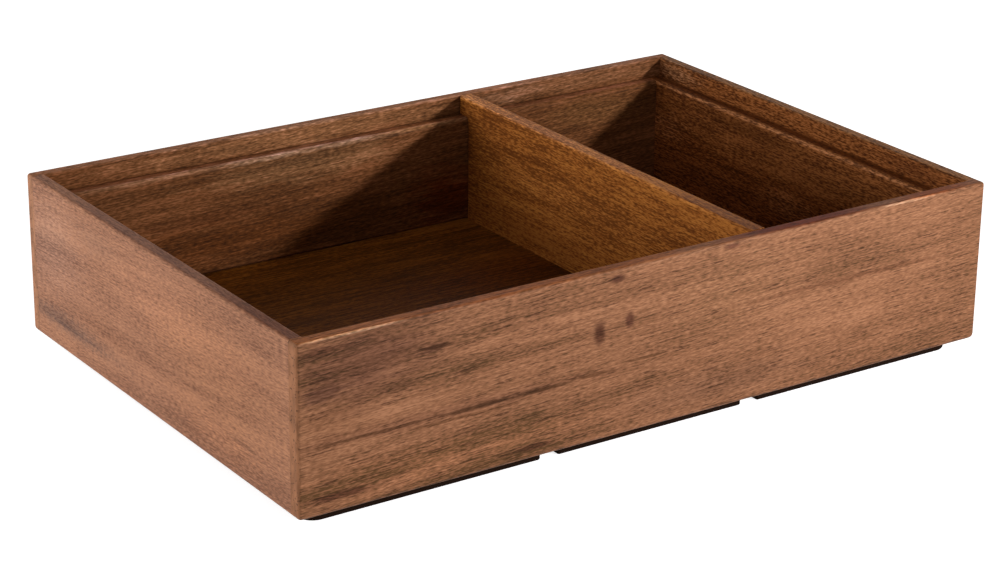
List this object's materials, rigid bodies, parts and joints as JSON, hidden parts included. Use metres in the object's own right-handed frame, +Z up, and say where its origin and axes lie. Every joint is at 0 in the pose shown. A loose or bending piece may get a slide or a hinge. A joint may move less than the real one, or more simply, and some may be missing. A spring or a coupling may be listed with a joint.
{
  "type": "divided storage box",
  "caption": "Open divided wooden box for spices, with a recessed inner rim and a notched lip underneath for stacking.",
  "frame": {"origin": "middle of the resting face, at the foot of the stacking lip", "axes": "+X along the length towards the small compartment, +Y from front to back, +Z up"},
  "size_m": [0.285, 0.192, 0.065],
  "materials": {
    "front_board": "oiled, satin",
    "back_board": "oiled, satin",
    "left_board": "oiled, satin",
    "right_board": "oiled, satin",
    "floor_board": "oiled, satin",
    "divider_board": "oiled, satin"
  },
  "bodies": {
    "root": {"front_wall": "front_board", "back_wall": "back_board", "left_wall": "left_board", "right_wall": "right_board", "floor_panel": "floor_board", "divider": "divider_board"}
  },
  "joints": []
}
